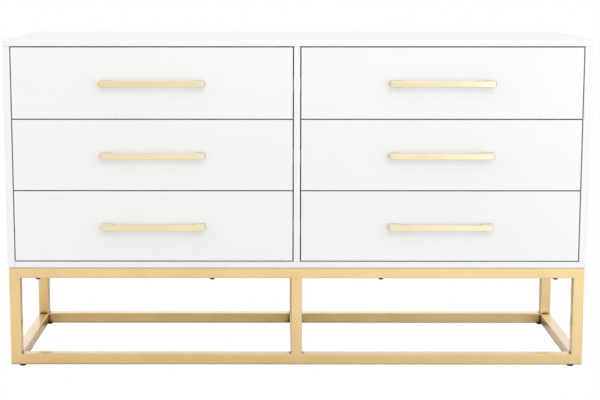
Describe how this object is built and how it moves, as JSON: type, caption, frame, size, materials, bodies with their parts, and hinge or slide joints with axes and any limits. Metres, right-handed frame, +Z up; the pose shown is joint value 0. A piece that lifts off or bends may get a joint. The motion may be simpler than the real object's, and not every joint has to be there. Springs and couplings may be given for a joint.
{
  "type": "dresser",
  "caption": "Wide low dresser: a white lacquered case of flush sliding drawers with gold bar pulls, on an open base of gold square tube.",
  "frame": {"origin": "on the floor, in the middle of the box that holds the closed dresser with its pulls", "axes": "+X to the right as seen from the front, +Y to the back, +Z up"},
  "size_m": [1.5, 0.492, 0.855],
  "materials": {
    "white_lacquer": "white satin lacquer on board",
    "back_board": "white foil on thin fibreboard",
    "drawer_timber": "clear satin on pale ply",
    "zinc_steel": "zinc plated",
    "gold_tube": "satin gold plating",
    "pale_brass": "satin",
    "black_plastic": "matt black"
  },
  "bodies": {
    "cabinet": {"top_panel": "white_lacquer", "bottom_panel": "white_lacquer", "left_side_panel": "white_lacquer", "right_side_panel": "white_lacquer", "centre_divider": "white_lacquer", "back_panel": "back_board", "front_base_frame": "gold_tube", "back_base_frame": "gold_tube", "left_bottom_rail": "gold_tube", "left_top_rail": "gold_tube", "centre_bottom_rail": "gold_tube", "centre_top_rail": "gold_tube", "right_bottom_rail": "gold_tube", "right_top_rail": "gold_tube", "front_left_glide": "black_plastic", "front_right_glide": "black_plastic", "back_left_glide": "black_plastic", "back_right_glide": "black_plastic", "top_left_drawer_cabinet_runner_left": "zinc_steel", "top_left_drawer_cabinet_runner_right": "zinc_steel", "middle_left_drawer_cabinet_runner_left": "zinc_steel", "middle_left_drawer_cabinet_runner_right": "zinc_steel", "bottom_left_drawer_cabinet_runner_left": "zinc_steel", "bottom_left_drawer_cabinet_runner_right": "zinc_steel", "top_right_drawer_cabinet_runner_left": "zinc_steel", "top_right_drawer_cabinet_runner_right": "zinc_steel", "middle_right_drawer_cabinet_runner_left": "zinc_steel", "middle_right_drawer_cabinet_runner_right": "zinc_steel", "bottom_right_drawer_cabinet_runner_left": "zinc_steel", "bottom_right_drawer_cabinet_runner_right": "zinc_steel"},
    "top_left_drawer": {"top_left_drawer_front": "white_lacquer", "top_left_drawer_box": "drawer_timber", "top_left_drawer_pull": "pale_brass", "top_left_drawer_drawer_runner_left": "zinc_steel", "top_left_drawer_drawer_runner_right": "zinc_steel"},
    "middle_left_drawer": {"middle_left_drawer_front": "white_lacquer", "middle_left_drawer_box": "drawer_timber", "middle_left_drawer_pull": "pale_brass", "middle_left_drawer_drawer_runner_left": "zinc_steel", "middle_left_drawer_drawer_runner_right": "zinc_steel"},
    "bottom_left_drawer": {"bottom_left_drawer_front": "white_lacquer", "bottom_left_drawer_box": "drawer_timber", "bottom_left_drawer_pull": "pale_brass", "bottom_left_drawer_drawer_runner_left": "zinc_steel", "bottom_left_drawer_drawer_runner_right": "zinc_steel"},
    "top_right_drawer": {"top_right_drawer_front": "white_lacquer", "top_right_drawer_box": "drawer_timber", "top_right_drawer_pull": "pale_brass", "top_right_drawer_drawer_runner_left": "zinc_steel", "top_right_drawer_drawer_runner_right": "zinc_steel"},
    "middle_right_drawer": {"middle_right_drawer_front": "white_lacquer", "middle_right_drawer_box": "drawer_timber", "middle_right_drawer_pull": "pale_brass", "middle_right_drawer_drawer_runner_left": "zinc_steel", "middle_right_drawer_drawer_runner_right": "zinc_steel"},
    "bottom_right_drawer": {"bottom_right_drawer_front": "white_lacquer", "bottom_right_drawer_box": "drawer_timber", "bottom_right_drawer_pull": "pale_brass", "bottom_right_drawer_drawer_runner_left": "zinc_steel", "bottom_right_drawer_drawer_runner_right": "zinc_steel"}
  },
  "joints": [
    {"name": "top_left_drawer_slide", "type": "slide", "parent": "cabinet", "child": "top_left_drawer", "axis": [0, -1, 0], "range_m": [0, 0.3]},
    {"name": "middle_left_drawer_slide", "type": "slide", "parent": "cabinet", "child": "middle_left_drawer", "axis": [0, -1, 0], "range_m": [0, 0.3]},
    {"name": "bottom_left_drawer_slide", "type": "slide", "parent": "cabinet", "child": "bottom_left_drawer", "axis": [0, -1, 0], "range_m": [0, 0.3]},
    {"name": "top_right_drawer_slide", "type": "slide", "parent": "cabinet", "child": "top_right_drawer", "axis": [0, -1, 0], "range_m": [0, 0.3]},
    {"name": "middle_right_drawer_slide", "type": "slide", "parent": "cabinet", "child": "middle_right_drawer", "axis": [0, -1, 0], "range_m": [0, 0.3]},
    {"name": "bottom_right_drawer_slide", "type": "slide", "parent": "cabinet", "child": "bottom_right_drawer", "axis": [0, -1, 0], "range_m": [0, 0.3]}
  ]
}
